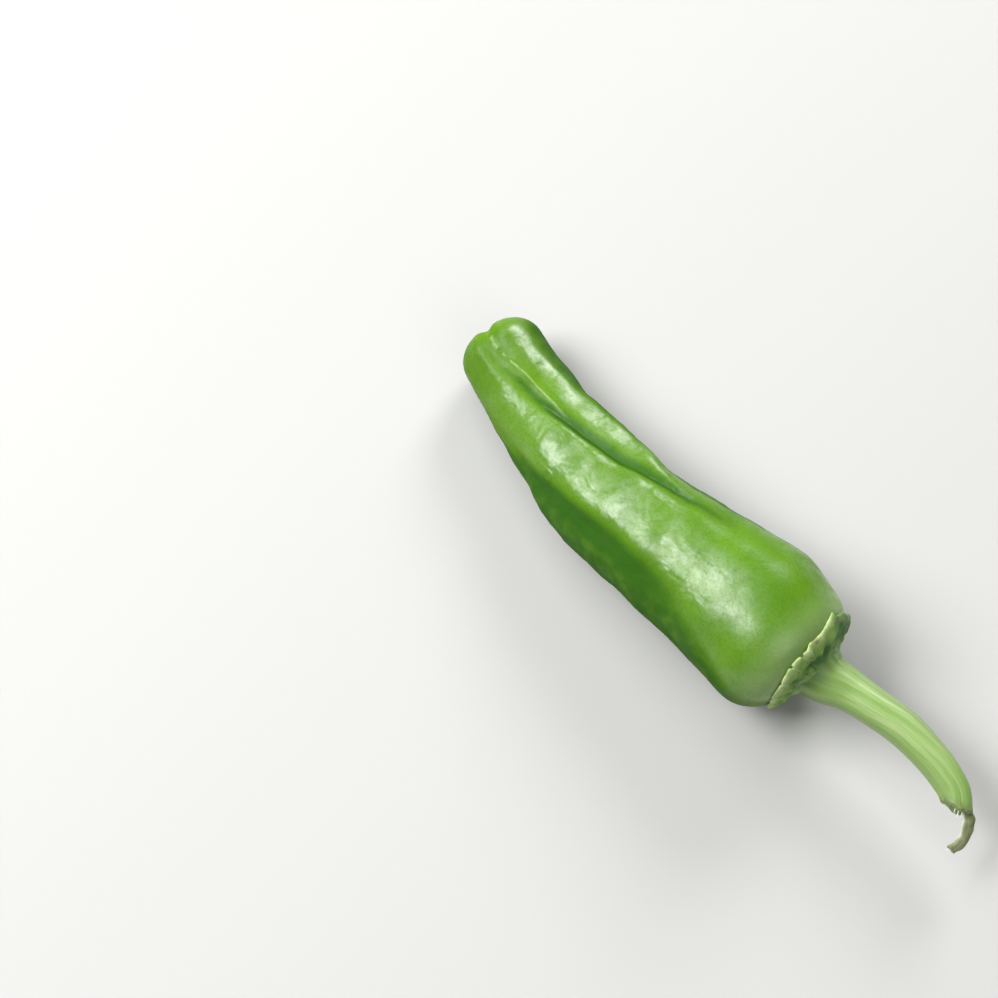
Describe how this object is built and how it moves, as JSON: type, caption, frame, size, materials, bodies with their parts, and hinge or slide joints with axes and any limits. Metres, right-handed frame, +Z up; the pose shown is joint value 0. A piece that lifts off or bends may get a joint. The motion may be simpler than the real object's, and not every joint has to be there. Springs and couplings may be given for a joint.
{
  "type": "padron pepper",
  "caption": "Small green padron pepper, whole, lying on its side, with a lobed pod, toothed calyx and curved ribbed stem with a torn strip of bark.",
  "frame": {"origin": "on the surface that the pepper lies on, under the middle of the whole pepper's outline from above", "axes": "+X from the blossom tip to the stem, +Y to the left of that, +Z up from the surface"},
  "size_m": [0.1113, 0.0249, 0.0237],
  "materials": {
    "pod_skin": "waxy green skin, semi-gloss",
    "calyx_green": "matt leaf green",
    "stem_green": "pale green, satin, finely ribbed"
  },
  "bodies": {
    "root": {"pod": "pod_skin", "calyx": "calyx_green", "stem": "stem_green"}
  },
  "joints": []
}
